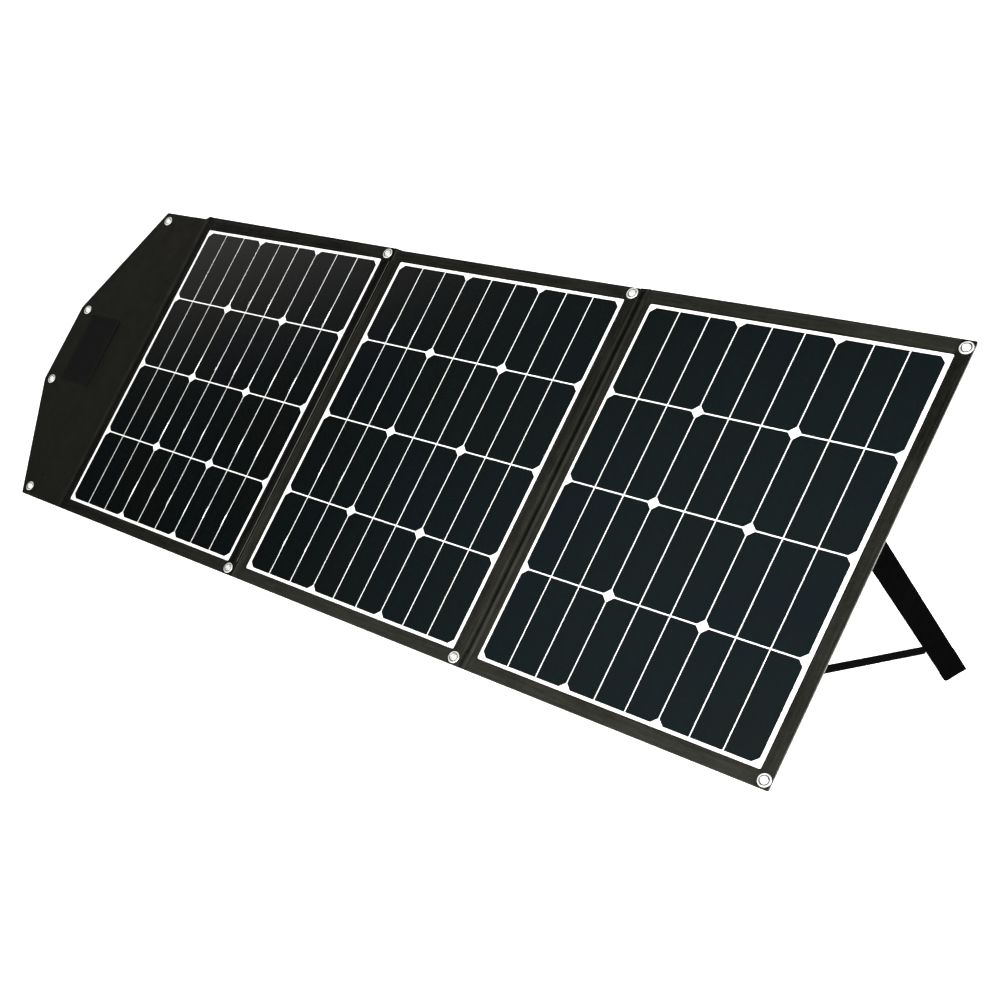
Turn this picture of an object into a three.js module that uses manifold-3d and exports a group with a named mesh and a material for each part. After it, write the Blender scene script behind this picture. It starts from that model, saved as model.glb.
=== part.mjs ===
// A three-panel folding solar panel with a closing flap, standing on two fold-out side legs.
// Millimetres, +Z up. The row of panels runs along X and leans back about its bottom edge.
// The origin is the middle of the footprint, at the floor.
//
// Panel frame: everything except the final placing is built in one flat frame. Its X runs along
// the row, its Y runs up the panels, and its Z comes out of their faces. Its origin is the middle
// of the middle panel's cell grid, level with the front of the covers.
import * as THREE from 'three';
import { mergeVertices } from 'three/addons/utils/BufferGeometryUtils.js';
import Module from 'manifold-3d';

const wasm = await Module();
wasm.setup();

// ---------- driving dimensions ----------
const degrees = Math.PI / 180;
const TILT = 48 * degrees; // slope of the panels above the floor
const PITCH = 427; // from one panel's cell grid to the next
const GAP = 0.3; // between pieces that touch

const HALF_HEIGHT = 277; // covers, from the middle to the bottom or top edge
const CELL = 127; // pitch of the square cells, each cut in three strips
const CELL_COLUMNS = 3;
const CELL_ROWS = 4;
const WINDOW = { width: 390, height: 516 }; // the white laminate that shows
const LAMINATE_TUCK = { x: 1.5, y: 3 }; // how far the laminate runs under the cover

// Heights of the layers in a panel, from the front of the cover at 0 backwards.
const COVER_T = 0.8;
const LAYERS = {
  frontCover: [-COVER_T, 0],
  cells: [-0.8, -0.4],
  laminate: [-1.8, -1.1],
  board: [-4.3, -2.1],
  backFloor: [-5.4, -4.6],
};
const BACK = LAYERS.backFloor[0]; // the panel's back face
const PANEL_MIDDLE = BACK / 2;
const BACK_WALL_T = 1.5;
const ON_BACK = BACK - GAP; // where a piece sewn to the back starts
const PATCH_T = 0.8; // sewn patches and hook-and-loop pads

// Each panel: its left and right cover edges from its own middle, its eyelets and its window shift.
const PANELS = [
  { id: 1, at: -PITCH, left: -210, right: 209.5, eyelet: 201.5, windowShift: 0 },
  { id: 2, at: 0, left: -201.5, right: 209.5, eyelet: 201.5, windowShift: 0 },
  { id: 3, at: PITCH, left: -201.5, right: 213, eyelet: 204.5, windowShift: 1 },
];
const EYELET = { y: 267.2, hole: 4.5, barrel: 5.2, flange: 8, flangeT: 0.9, clear: 5.5 };
const ROUND = 10; // segments in a half turn of a cover's eyelet hole

// Soft hinge between two panels.
const HINGE_STRIP_Z = [-2.4, -0.4];

// Closing flap, on the left of panel 1: soft crease, spine as wide as the folded stack, soft
// crease, then the flap with its sloping corners.
const SHEET_T = 2.4;
const SHEET_Z = [PANEL_MIDDLE - SHEET_T / 2, PANEL_MIDDLE + SHEET_T / 2];
const CREASE_HALF = 4;
const CREASE_Z = [PANEL_MIDDLE - 1, PANEL_MIDDLE + 1];
const FIRST_CREASE = PANELS[0].at + PANELS[0].left - CREASE_HALF;
const SPINE_WIDTH = 28; // crease to crease
const SECOND_CREASE = FIRST_CREASE - SPINE_WIDTH;
const FLAP = { shoulder: 318, tip: 411, shoulderY: 277, tipY: 72.5, skin: 0.6 };
const FLAP_EYELETS = [[306, 261.4], [392, 69.6]];
const FLAP_PATCH = { x: 333, width: 76, height: 127 };
const LOOP_PAD_GROW = 3; // the pad on the middle panel is a little larger than the flap's patch

// Fold-out legs. A leg lies in a plane through a seam along the panel's outer edge, the wing
// plane. r is the distance out from the seam and y runs along it.
const LEG = {
  splay: 12 * degrees, // how far past square it opens
  droop: 4.3 * degrees, // the bar runs down a little towards its foot
  y: 16, // the bar's middle at the seam
  width: 36,
  thick: 4.4,
  start: 5, // from the seam to the end of the bar
  capAt: 266, // where the foot cap starts
  reach: 360, // longer than needed: the floor trims it
  skin: 0.8,
  seamIn: 6, // the seam's distance in from the cover's edge
  seamZ: BACK - 3.6,
};
const STRAP = { width: 10, thick: 1, y: -129, start: 1.5, end: 202 };

// Carry handle on the outside of the spine.
const HANDLE = { width: 25, half: 100, tabIn: 70, topHalf: 58, rise: 28, thick: 2 };
const GRIP = { half: 52, width: 30, thick: 9 };

// Accessory pocket on the middle panel's back, with the junction box inside it.
const POCKET = { left: -170, right: 20, bottom: -200, top: -50, depth: 22, wall: 1.6 };
const LID = { hingeY: -44, overlap: 60, thick: 1.4, gap: 0.6, side: 4 };
const BOX = { left: -120, right: -30, bottom: -176, top: -116, depth: 15, wall: 2, lidT: 2 };
const GLAND = { x: -55, depth: 8.2, bodyR: 6, nutR: 7.5, bore: 3.2, bodyLength: 12, nutLength: 7 };

// ---------- materials ----------
function material(color, roughness, metalness = 0) {
  return new THREE.MeshStandardMaterial({ color, roughness, metalness });
}
const coverFabric = material(0x1d1b18, 0.6);
const webbing = material(0x0e0e0e, 0.85);
const hookTape = material(0x141414, 0.95);
const cellGlass = material(0x101820, 0.25);
const backsheet = material(0xeeece6, 0.5);
const boardPlastic = material(0x2a2c2a, 0.7);
const nickel = material(0xc9c9c4, 0.25, 1);
const rubber = material(0x101010, 0.8);
const boxPlastic = material(0x151515, 0.5);

// ---------- helpers ----------
function named(name, geometry, look) {
  const mesh = new THREE.Mesh(geometry, look);
  mesh.name = name;
  return mesh;
}

function polygon(points) {
  return new THREE.Shape(points.map(([x, y]) => new THREE.Vector2(x, y)));
}

function rectangle(x0, y0, x1, y1) {
  return polygon([[x0, y0], [x1, y0], [x1, y1], [x0, y1]]);
}

function roundedRectangle(x0, y0, x1, y1, radius) {
  const shape = new THREE.Shape();
  shape.moveTo(x0 + radius, y0);
  shape.lineTo(x1 - radius, y0);
  shape.absarc(x1 - radius, y0 + radius, radius, -Math.PI / 2, 0);
  shape.lineTo(x1, y1 - radius);
  shape.absarc(x1 - radius, y1 - radius, radius, 0, Math.PI / 2);
  shape.lineTo(x0 + radius, y1);
  shape.absarc(x0 + radius, y1 - radius, radius, Math.PI / 2, Math.PI);
  shape.lineTo(x0, y0 + radius);
  shape.absarc(x0 + radius, y0 + radius, radius, Math.PI, 1.5 * Math.PI);
  return shape;
}

function roundHole(x, y, radius) {
  const path = new THREE.Path();
  path.absarc(x, y, radius, 0, 2 * Math.PI, true);
  return path;
}

// A flat sheet with an outline in X and Y, from the low to the high z.
function sheet(shape, [low, high], curveSegments = 3) {
  const geometry = new THREE.ExtrudeGeometry(shape, {
    depth: high - low,
    bevelEnabled: false,
    curveSegments,
  });
  return geometry.translate(0, 0, low);
}

function block([x0, x1], [y0, y1], [z0, z1]) {
  const geometry = new THREE.BoxGeometry(x1 - x0, y1 - y0, z1 - z0);
  return geometry.translate((x0 + x1) / 2, (y0 + y1) / 2, (z0 + z1) / 2);
}

function toSolid(geometry) {
  const bare = geometry.clone();
  bare.deleteAttribute('normal');
  bare.deleteAttribute('uv');
  const merged = mergeVertices(bare);
  return new wasm.Manifold(new wasm.Mesh({
    numProp: 3,
    vertProperties: new Float32Array(merged.attributes.position.array),
    triVerts: new Uint32Array(merged.index.array),
  }));
}

function toGeometry(solid) {
  const mesh = solid.getMesh();
  const geometry = new THREE.BufferGeometry();
  geometry.setAttribute('position', new THREE.BufferAttribute(mesh.vertProperties, 3));
  geometry.setIndex(new THREE.BufferAttribute(mesh.triVerts, 1));
  geometry.computeVertexNormals();
  return geometry;
}

function cut(geometry, ...tools) {
  let solid = toSolid(geometry);
  for (const tool of tools) {
    solid = solid.subtract(toSolid(tool));
  }
  return toGeometry(solid);
}

function join(...geometries) {
  return toGeometry(geometries.map(toSolid).reduce((whole, piece) => whole.add(piece)));
}

// ---------- eyelets ----------
// Two rolled flanges on one barrel, through a sheet from the low to the high z.
function eyelet(name, x, y, [low, high]) {
  const { hole, barrel, flange, flangeT } = EYELET;
  const bottom = low - GAP;
  const top = high + GAP;
  const profile = [
    [hole, bottom - flangeT * 0.6],
    [hole + 0.8, bottom - flangeT],
    [flange - 1, bottom - flangeT],
    [flange, bottom - flangeT * 0.3],
    [flange - 0.4, bottom],
    [barrel, bottom],
    [barrel, top],
    [flange - 0.4, top],
    [flange, top + flangeT * 0.3],
    [flange - 1, top + flangeT],
    [hole + 0.8, top + flangeT],
    [hole, top + flangeT * 0.6],
  ].map(([r, z]) => new THREE.Vector2(r, z));
  profile.push(profile[0].clone());
  const geometry = new THREE.LatheGeometry(profile, 20).rotateX(Math.PI / 2);
  return named(name, geometry.translate(x, y, 0), nickel);
}

// ---------- panels ----------
function panelPieces({ id, at, left, right, eyelet: eyeletX, windowShift }) {
  const middle = at + windowShift;
  const halfWindow = WINDOW.width / 2;
  const outline = () => {
    const shape = rectangle(at + left, -HALF_HEIGHT, at + right, HALF_HEIGHT);
    for (const y of [-EYELET.y, EYELET.y]) {
      shape.holes.push(roundHole(at + eyeletX, y, EYELET.clear));
    }
    return shape;
  };

  const front = outline();
  front.holes.push(new THREE.Path(rectangle(
    middle - halfWindow, -WINDOW.height / 2, middle + halfWindow, WINDOW.height / 2,
  ).getPoints()));

  const floor = sheet(outline(), LAYERS.backFloor, ROUND);
  const wallTop = LAYERS.frontCover[0] - GAP;
  const rim = rectangle(at + left, -HALF_HEIGHT, at + right, HALF_HEIGHT);
  rim.holes.push(new THREE.Path(rectangle(
    at + left + BACK_WALL_T, -HALF_HEIGHT + BACK_WALL_T,
    at + right - BACK_WALL_T, HALF_HEIGHT - BACK_WALL_T,
  ).getPoints()));
  const backCover = join(floor, sheet(rim, [LAYERS.backFloor[0], wallTop]));

  const tuckedX = halfWindow + LAMINATE_TUCK.x;
  const tuckedY = WINDOW.height / 2 + LAMINATE_TUCK.y;
  const tucked = () => rectangle(middle - tuckedX, -tuckedY, middle + tuckedX, tuckedY);
  const cellsX = (CELL_COLUMNS * CELL) / 2;
  const cellsY = (CELL_ROWS * CELL) / 2;

  return [
    named(`front_cover_${id}`, sheet(front, LAYERS.frontCover, ROUND), coverFabric),
    named(`cell_sheet_${id}`,
      sheet(rectangle(at - cellsX, -cellsY, at + cellsX, cellsY), LAYERS.cells), cellGlass),
    named(`laminate_${id}`, sheet(tucked(), LAYERS.laminate), backsheet),
    named(`stiffener_board_${id}`, sheet(tucked(), LAYERS.board), boardPlastic),
    named(`back_cover_${id}`, backCover, coverFabric),
    eyelet(`eyelet_${id}_top`, at + eyeletX, EYELET.y, [BACK, 0]),
    eyelet(`eyelet_${id}_bottom`, at + eyeletX, -EYELET.y, [BACK, 0]),
  ];
}

function hingeStrip(name, leftPanel, rightPanel) {
  const x0 = leftPanel.at + leftPanel.right + GAP;
  const x1 = rightPanel.at + rightPanel.left - GAP;
  const shape = rectangle(x0, -HALF_HEIGHT, x1, HALF_HEIGHT);
  return named(name, sheet(shape, HINGE_STRIP_Z), coverFabric);
}

// ---------- closing flap ----------
function flapPieces() {
  const centre = PANELS[0].at;
  const creaseStrip = (name, x) => named(name, sheet(
    rectangle(x - CREASE_HALF + GAP, -HALF_HEIGHT, x + CREASE_HALF - GAP, HALF_HEIGHT),
    CREASE_Z,
  ), coverFabric);
  const flapEdge = SECOND_CREASE - CREASE_HALF;
  const flapOutline = (inset) => polygon([
    [flapEdge - inset, FLAP.shoulderY - inset],
    [centre - FLAP.shoulder, FLAP.shoulderY - inset],
    [centre - FLAP.tip + inset, FLAP.tipY],
    [centre - FLAP.tip + inset, -FLAP.tipY],
    [centre - FLAP.shoulder, -FLAP.shoulderY + inset],
    [flapEdge - inset, -FLAP.shoulderY + inset],
  ]);
  const eyeletPlaces = FLAP_EYELETS.flatMap(([x, y]) => [[centre - x, y], [centre - x, -y]]);
  const pierced = (inset) => {
    const shape = flapOutline(inset);
    for (const [x, y] of eyeletPlaces) {
      shape.holes.push(roundHole(x, y, EYELET.clear));
    }
    return shape;
  };
  const [low, high] = SHEET_Z;
  const patchX = centre - FLAP_PATCH.x;
  const patch = roundedRectangle(
    patchX - FLAP_PATCH.width / 2, -FLAP_PATCH.height / 2,
    patchX + FLAP_PATCH.width / 2, FLAP_PATCH.height / 2, 4,
  );
  const eyeletNames = ['upper', 'lower', 'tip_upper', 'tip_lower'];
  return {
    creases: [
      creaseStrip('crease_strip_inner', FIRST_CREASE),
      creaseStrip('crease_strip_outer', SECOND_CREASE),
    ],
    spine: named('flap_spine', block(
      [SECOND_CREASE + CREASE_HALF, FIRST_CREASE - CREASE_HALF],
      [-HALF_HEIGHT, HALF_HEIGHT], SHEET_Z,
    ), coverFabric),
    flap: [
      named('flap_front_cover', sheet(pierced(0), [high - FLAP.skin, high], ROUND), coverFabric),
      named('flap_board',
        sheet(pierced(3), [low + FLAP.skin + GAP, high - FLAP.skin - GAP], ROUND), boardPlastic),
      named('flap_back_cover', sheet(pierced(0), [low, low + FLAP.skin], ROUND), coverFabric),
      named('flap_hook_patch', sheet(patch, [high + GAP, high + GAP + PATCH_T]), hookTape),
      ...eyeletPlaces.map(([x, y], i) => eyelet(`eyelet_flap_${eyeletNames[i]}`, x, y, SHEET_Z)),
    ],
  };
}

// ---------- carry handle ----------
// The webbing's line is drawn in y and in height off the spine's back, then given its thickness.
function handlePieces() {
  const { half, tabIn, topHalf, rise, thick, width } = HANDLE;
  const inner = [[-half, 0], [-tabIn + 1.5, 0], [-topHalf + 1.5, rise],
    [topHalf - 1.5, rise], [tabIn - 1.5, 0], [half, 0]];
  const outer = [[half, thick], [tabIn, thick], [topHalf, rise + thick],
    [-topHalf, rise + thick], [-tabIn, thick], [-half, thick]];
  const tab = SHEET_Z[0] - GAP;
  const middle = (FIRST_CREASE + SECOND_CREASE) / 2;
  // Shape X becomes the panel frame's Y, shape Y becomes its -Z, and the depth runs along X.
  const place = (geometry) => geometry.applyMatrix4(new THREE.Matrix4().set(
    0, 0, -1, middle,
    1, 0, 0, 0,
    0, -1, 0, tab,
    0, 0, 0, 1,
  ));
  const web = sheet(polygon([...inner, ...outer]), [-width / 2, width / 2]);
  const webMiddle = rise + thick / 2;
  const grip = cut(
    block([-GRIP.half, GRIP.half], [webMiddle - GRIP.thick / 2, webMiddle + GRIP.thick / 2],
      [-GRIP.width / 2, GRIP.width / 2]),
    block([-half, half], [rise - GAP, rise + thick + GAP],
      [-width / 2 - GAP, width / 2 + GAP]),
  );
  return [
    named('handle_webbing', place(web), webbing),
    named('handle_grip', place(grip), coverFabric),
  ];
}

// ---------- legs ----------
// Built flat in the wing plane (x = r, y = y, z = thickness), then turned out behind the panel.
function legOutline(from, to, inset) {
  const half = LEG.width / 2 - inset;
  const slope = Math.tan(LEG.droop);
  const edge = (r, side) => LEG.y + (side * half) / Math.cos(LEG.droop) - r * slope;
  return polygon([
    [from, edge(from, -1)], [to, edge(to, -1)], [to, edge(to, 1)], [from, edge(from, 1)],
  ]);
}

function strapOutline() {
  const slope = Math.tan(LEG.droop);
  const lowerEdge = (r) => LEG.y - LEG.width / 2 / Math.cos(LEG.droop) - r * slope - GAP;
  const run = new THREE.Vector2(STRAP.end, lowerEdge(STRAP.end) - STRAP.y).normalize();
  const side = new THREE.Vector2(-run.y, run.x).multiplyScalar(STRAP.width / 2);
  // Where the line from the anchor through a side of the strap meets the bar's lower edge.
  const meet = (sign) => {
    const r0 = STRAP.start + sign * side.x;
    const y0 = STRAP.y + sign * side.y;
    const t = (lowerEdge(r0) - y0) / (run.y + run.x * slope);
    return [r0 + run.x * t, y0 + run.y * t];
  };
  const start = (sign) => {
    const t = (-sign * side.x) / run.x;
    return [STRAP.start, STRAP.y + sign * side.y + run.y * t];
  };
  return polygon([start(-1), meet(-1), meet(1), start(1)]);
}

function legPieces(id, frame, floor) {
  const trim = (geometry) => {
    const below = floor.clone().applyMatrix4(frame.clone().invert());
    return cut(geometry, below);
  };
  const capFrom = LEG.capAt;
  const half = LEG.thick / 2;
  const coreHalf = half - LEG.skin;
  const sleeve = cut(
    sheet(legOutline(LEG.start, capFrom, 0), [-half, half]),
    sheet(legOutline(LEG.start + 2, capFrom + 1, LEG.skin), [-coreHalf, coreHalf]),
  );
  const batten = sheet(
    legOutline(LEG.start + 3, capFrom - GAP, LEG.skin + GAP),
    [-coreHalf + GAP, coreHalf - GAP],
  );
  const cap = trim(sheet(legOutline(capFrom + GAP, LEG.reach, 0), [-half, half]));
  const strap = sheet(strapOutline(), [-STRAP.thick / 2, STRAP.thick / 2]);
  return [
    named(`leg_sleeve_${id}`, sleeve.applyMatrix4(frame), coverFabric),
    named(`leg_batten_${id}`, batten.applyMatrix4(frame), boardPlastic),
    named(`leg_foot_cap_${id}`, cap.applyMatrix4(frame), rubber),
    named(`leg_strap_${id}`, strap.applyMatrix4(frame), webbing),
  ];
}

// Patches that the leg needs on the panel's back: the sewn hinge tape, the strap's anchor and
// the hook-and-loop pad that keeps the folded leg down. inward is the way the leg folds.
function legPatches(id, seamX, inward) {
  const patch = (name, from, to, y0, y1) => {
    const xs = [seamX + inward * from, seamX + inward * to].sort((a, b) => a - b);
    const shape = roundedRectangle(xs[0], y0, xs[1], y1, 2);
    return named(`${name}_${id}`, sheet(shape, [ON_BACK - PATCH_T, ON_BACK]), hookTape);
  };
  const keeperY = LEG.y - 255 * Math.tan(LEG.droop);
  return [
    patch('leg_hinge_tape', -5, 24, LEG.y - 24, LEG.y + 24),
    patch('strap_anchor', -5, 16, STRAP.y - 14, STRAP.y + 14),
    patch('leg_keeper_pad', 240, 270, keeperY - 15, keeperY + 15),
  ];
}

// ---------- pocket and junction box ----------
function pocketPieces() {
  const { left, right, bottom, top, depth, wall } = POCKET;
  const outer = ON_BACK - depth;
  const pouch = cut(
    block([left, right], [bottom, top], [outer, ON_BACK]),
    block([left + wall, right - wall], [bottom + wall, top + 1], [outer + wall, ON_BACK + 1]),
  );
  const inner = outer - LID.gap;
  const far = inner - LID.thick;
  // The lid's section, in y and z: a short run out from the seam, then down over the pouch.
  const section = polygon([
    [LID.hingeY, ON_BACK - 1], [LID.hingeY, far], [top - LID.overlap, far],
    [top - LID.overlap, inner], [LID.hingeY - LID.thick, inner],
    [LID.hingeY - LID.thick, ON_BACK - 1],
  ]);
  const lidWidth = right - left + 2 * LID.side;
  const lid = sheet(section, [0, lidWidth]).applyMatrix4(new THREE.Matrix4().set(
    0, 0, 1, left - LID.side,
    1, 0, 0, 0,
    0, 1, 0, 0,
    0, 0, 0, 1,
  ));
  return {
    pouch: named('pocket_pouch', pouch, coverFabric),
    lid: named('pocket_lid', lid, coverFabric),
  };
}

function junctionBoxPieces() {
  const { left, right, bottom, top, depth, wall, lidT } = BOX;
  const outer = ON_BACK - depth;
  const glandZ = ON_BACK - GLAND.depth;
  const bore = new THREE.CylinderGeometry(GLAND.bore, GLAND.bore, 20, 20)
    .translate(GLAND.x, top, glandZ);
  const base = cut(
    block([left, right], [bottom, top], [outer, ON_BACK]),
    block([left + wall, right - wall], [bottom + wall, top - wall], [outer - 1, ON_BACK - wall]),
    bore,
  );
  const lid = sheet(
    roundedRectangle(left, bottom, right, top, 3), [outer - GAP - lidT, outer - GAP],
  );
  const ring = (name, radius, from, length, segments) => {
    const profile = [
      [GLAND.bore, from], [radius, from], [radius, from + length], [GLAND.bore, from + length],
      [GLAND.bore, from],
    ].map(([r, y]) => new THREE.Vector2(r, y));
    const geometry = new THREE.LatheGeometry(profile, segments);
    return named(name, geometry.translate(GLAND.x, 0, glandZ), boxPlastic);
  };
  return [
    named('junction_box_base', base, boxPlastic),
    named('junction_box_lid', lid, boxPlastic),
    ring('cable_gland_body', GLAND.bodyR, top + GAP, GLAND.bodyLength, 20),
    ring('cable_gland_nut', GLAND.nutR, top + 2 * GAP + GLAND.bodyLength, GLAND.nutLength, 6),
  ];
}

// The pad on the middle panel's back that the flap's patch meets when the stack is wrapped.
function loopPad() {
  const foldAxis = (PANELS[0].at + PANELS[0].right + PANELS[1].left) / 2;
  const patchX = 2 * foldAxis - FIRST_CREASE - (SECOND_CREASE - (PANELS[0].at - FLAP_PATCH.x));
  const halfWidth = FLAP_PATCH.width / 2 + LOOP_PAD_GROW;
  const halfHeight = FLAP_PATCH.height / 2 + LOOP_PAD_GROW;
  const shape = roundedRectangle(
    patchX - halfWidth, -halfHeight, patchX + halfWidth, halfHeight, 4,
  );
  return named('closing_loop_pad', sheet(shape, [ON_BACK - PATCH_T, ON_BACK]), hookTape);
}

// ---------- assembly ----------
const lean = new THREE.Matrix4().makeRotationX(TILT);
const lowest = new THREE.Vector3(0, -HALF_HEIGHT, BACK).applyMatrix4(lean).z;
const lift = new THREE.Matrix4().makeTranslation(0, 0, -lowest);
const panelsToFloor = lift.multiply(lean);
const underFloor = new THREE.BoxGeometry(4000, 4000, 1000).translate(0, 0, -500)
  .applyMatrix4(panelsToFloor.clone().invert());

const LEGS = [
  { id: 1, seamX: PANELS[0].at + PANELS[0].left + LEG.seamIn, inward: 1 },
  { id: 3, seamX: PANELS[2].at + PANELS[2].right - LEG.seamIn, inward: -1 },
];

const row = new THREE.Group();
for (const panel of PANELS) {
  row.add(...panelPieces(panel));
}
row.add(hingeStrip('hinge_strip_12', PANELS[0], PANELS[1]));
row.add(hingeStrip('hinge_strip_23', PANELS[1], PANELS[2]));
for (const { id, seamX, inward } of LEGS) {
  const frame = new THREE.Matrix4().makeTranslation(seamX, 0, LEG.seamZ)
    .multiply(new THREE.Matrix4().makeRotationY(Math.PI / 2 + inward * LEG.splay));
  row.add(...legPieces(id, frame, underFloor), ...legPatches(id, seamX, inward));
}
const closing = flapPieces();
row.add(...closing.creases, closing.spine, ...closing.flap, ...handlePieces());
const pocket = pocketPieces();
row.add(pocket.pouch, pocket.lid, ...junctionBoxPieces(), loopPad());
row.applyMatrix4(panelsToFloor);

// The origin goes to the middle of the footprint.
const box = new THREE.Box3().setFromObject(row, true);
const centre = box.getCenter(new THREE.Vector3());
row.position.x -= centre.x;
row.position.y -= centre.y;

const part = new THREE.Group();
part.add(row);

export default part;
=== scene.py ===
"""A folding solar panel: three panels and a closing flap, leaning back on two fold-out legs.

Most pieces are worked out in the panel frame, flat, in millimetres: X runs along the row, Y up the
panels and Z out of their faces, and the origin is the middle of the middle panel's cells, level
with the front of the covers. row_frame() leans that frame back and gives metres.
"""

import math
from functools import lru_cache

import bmesh
import bpy
import numpy as np
from mathutils import Matrix, Vector, noise


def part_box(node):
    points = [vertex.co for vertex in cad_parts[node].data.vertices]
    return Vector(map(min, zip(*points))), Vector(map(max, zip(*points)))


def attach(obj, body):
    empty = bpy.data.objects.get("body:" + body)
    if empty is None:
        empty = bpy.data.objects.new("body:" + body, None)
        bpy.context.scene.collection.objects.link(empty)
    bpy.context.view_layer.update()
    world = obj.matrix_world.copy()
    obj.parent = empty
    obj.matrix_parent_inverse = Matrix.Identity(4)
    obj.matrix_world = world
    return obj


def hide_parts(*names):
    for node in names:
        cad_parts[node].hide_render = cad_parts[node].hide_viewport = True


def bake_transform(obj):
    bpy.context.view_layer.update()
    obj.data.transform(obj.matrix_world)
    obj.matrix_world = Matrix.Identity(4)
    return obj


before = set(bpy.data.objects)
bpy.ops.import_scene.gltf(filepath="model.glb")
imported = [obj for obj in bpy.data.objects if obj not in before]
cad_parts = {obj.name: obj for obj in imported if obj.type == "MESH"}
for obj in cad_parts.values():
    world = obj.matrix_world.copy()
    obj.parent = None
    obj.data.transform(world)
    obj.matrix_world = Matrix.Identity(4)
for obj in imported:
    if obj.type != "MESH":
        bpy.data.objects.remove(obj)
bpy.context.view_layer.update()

# ---------- frames ----------
MM = 0.001
TILT = math.radians(48)
LEAN = np.array(Matrix.Rotation(TILT, 3, "X"))
CELLS_Z = -0.6  # middle of the CAD cell sheets, in the panel frame
sheet_low, sheet_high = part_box("cell_sheet_2")
ORIGIN = np.array((sheet_low + sheet_high) / 2) - LEAN @ np.array([0, 0, CELLS_Z]) * MM


def row_frame(points):
    """Panel frame, mm, to the row frame, m."""
    return np.asarray(points, float).reshape(-1, 3) * MM @ LEAN.T + ORIGIN


@lru_cache
def span(node):
    """A CAD node's lowest and highest corner in the panel frame, mm."""
    points = np.array([v.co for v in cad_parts[node].data.vertices], float)
    flat = (points - ORIGIN) @ LEAN / MM
    return flat.min(0), flat.max(0)


def smooth(low, high, x):
    """0 below low, 1 above high, and an S curve in between."""
    t = min(1.0, max(0.0, (x - low) / (high - low)))
    return t * t * (3 - 2 * t)


def wander(x, y, size, seed=0.0):
    """Smooth noise from -1 to 1 over the cloth, with features of that size."""
    return noise.noise(Vector((x / size, y / size, seed)))


# ---------- sizes, from the frame ----------
HALF_HEIGHT = span("front_cover_2")[1][1]
BACK_Z = span("back_cover_2")[0][2]
MID_Z = -2.7  # halfway through the panels
PITCH = 427
CELL = 127
WINDOW_HALF = (194.4, 257.3)
WINDOW_SHIFT = {1: 0, 2: 0, 3: 1}
PANEL_X = {k: (k - 2) * PITCH for k in (1, 2, 3)}
WINDOW_1_LEFT = PANEL_X[1] - WINDOW_HALF[0]
FLAP_CLOTH_EDGE = WINDOW_1_LEFT - 1.0  # the closing flap's cloth stops short of the window
# How far the top edge stands above the CAD outline at the left, middle and right of each cover.
TOP_LIFT = {1: (4.5, 2.6, 1.0), 2: (-1.0, -1.0, -0.6), 3: (0.3, 0.9, 0.5)}
EYELETS = {n: tuple(sum(span(n))[:2] / 2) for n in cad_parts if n.startswith("eyelet")}
HOLE_R = 6.2  # cloth hole, under the eyelet's flange
DROP_R = 5.4  # faces whose middle is nearer than this to an eyelet's axis go
HEM = 3.7  # a back's seam, in from its edge
SEAM_BREAK = 12  # a seam stops at a gap wider than this


# ---------- materials ----------
def times(factor, color):
    return tuple(factor * c for c in color)


def new_node(tree, kind, inputs, output, **settings):
    """A shader node. Each input is a value or another node's output."""
    node = tree.nodes.new(f"ShaderNode{kind}")
    for name, value in settings.items():
        setattr(node, name, value)
    for key, value in inputs.items():
        if isinstance(value, bpy.types.NodeSocket):
            tree.links.new(value, node.inputs[key])
        else:
            node.inputs[key].default_value = value
    return node.outputs[output]


class Look:
    """A material, with short names for the nodes that the looks share."""

    def __init__(self, name, color, roughness, specular=0.5, metallic=0.0, coat=0.0,
                 coat_roughness=0.1):
        self.material = bpy.data.materials.new(name)
        self.material.use_nodes = True
        self.tree = self.material.node_tree
        self.inputs = self.tree.nodes["Principled BSDF"].inputs
        for socket, value in {
            "Base Color": (*color, 1), "Roughness": roughness, "Specular IOR Level": specular,
            "Metallic": metallic, "Coat Weight": coat, "Coat Roughness": coat_roughness,
        }.items():
            self.inputs[socket].default_value = value
        self.cloth = self.new("Attribute", {}, "Vector", attribute_name="cloth")

    def new(self, kind, inputs, output, **settings):
        return new_node(self.tree, kind, inputs, output, **settings)

    def noise(self, scale, detail=3.0, roughness=0.55, stretch=None):
        place = self.cloth
        if stretch:
            place = self.new("VectorMath", {0: place, 1: stretch}, "Vector", operation="MULTIPLY")
        inputs = {"Scale": scale, "Detail": detail, "Roughness": roughness, "Vector": place}
        return self.new("TexNoise", inputs, "Fac")

    def wave(self, scale, direction):
        inputs = {"Scale": scale, "Vector": self.cloth}
        return self.new("TexWave", inputs, "Fac", bands_direction=direction)

    def math(self, operation, first, second):
        return self.new("Math", {0: first, 1: second}, 0, operation=operation)

    def color(self, value, *stops):
        """The colour goes through these stops, each (place, colour)."""
        ramp = self.tree.nodes.new("ShaderNodeValToRGB")
        elements = ramp.color_ramp.elements
        while len(elements) < len(stops):
            elements.new(0.5)
        for element, (place, color) in zip(elements, stops):
            element.position = place
            element.color = (*color, 1)
        self.tree.links.new(value, ramp.inputs["Fac"])
        self.tree.links.new(ramp.outputs["Color"], self.inputs["Base Color"])

    def roughness(self, value, low, high):
        inputs = {"Value": value, "From Min": 0.3, "From Max": 0.7, "To Min": low, "To Max": high}
        self.tree.links.new(self.new("MapRange", inputs, "Result"), self.inputs["Roughness"])

    def bump(self, height, distance, strength):
        inputs = {"Strength": strength, "Distance": distance, "Height": height}
        normal = self.inputs["Normal"]
        if normal.is_linked:
            inputs["Normal"] = normal.links[0].from_socket
        self.tree.links.new(self.new("Bump", inputs, "Normal"), normal)


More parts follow.
